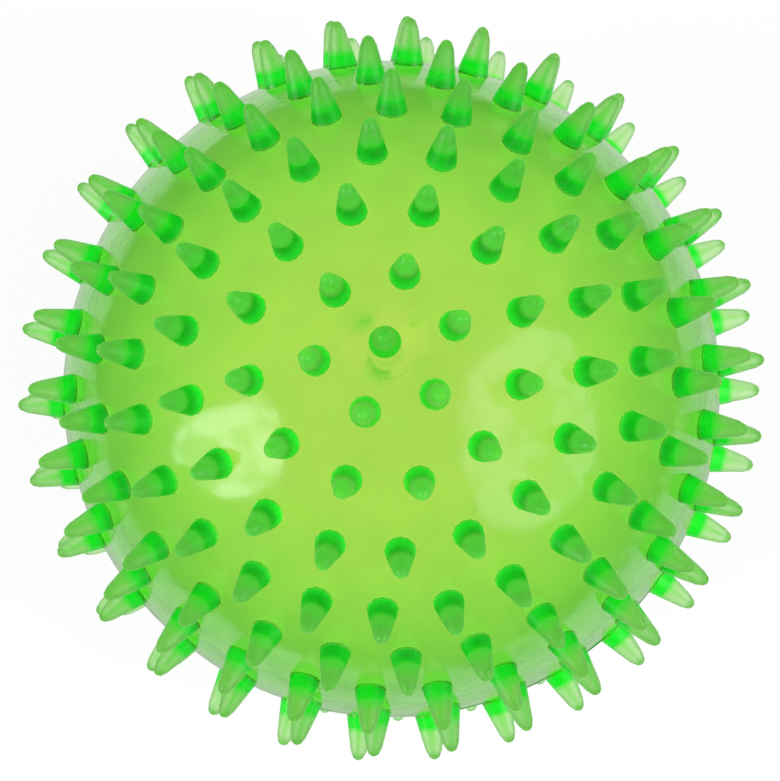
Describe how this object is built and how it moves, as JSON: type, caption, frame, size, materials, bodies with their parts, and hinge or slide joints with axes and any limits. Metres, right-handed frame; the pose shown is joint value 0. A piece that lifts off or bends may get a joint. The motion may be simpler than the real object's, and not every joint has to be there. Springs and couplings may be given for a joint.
{
  "type": "spiky ball",
  "caption": "Hollow soft vinyl ball covered in short blunt moulded spikes, welded from half skins, with a spike-headed stopper that pulls out of the air valve at the pole.",
  "frame": {"origin": "centre of the ball", "axes": "+Z from the centre out through the air valve at the pole, X and Y in the plane of the welded seam"},
  "size_m": [0.1788, 0.1786, 0.18],
  "materials": {
    "skin_vinyl": "glossy translucent lime green soft vinyl",
    "valve_vinyl": "glossy translucent green soft vinyl"
  },
  "bodies": {
    "ball": {"upper_half_skin": "skin_vinyl", "lower_half_skin": "skin_vinyl", "valve_sleeve": "valve_vinyl"},
    "plug": {"valve_plug": "valve_vinyl"}
  },
  "joints": [
    {"name": "valve_plug_pull", "type": "slide", "parent": "ball", "child": "plug", "axis": [0, 0, 1], "range_m": [0, 0.024]}
  ]
}
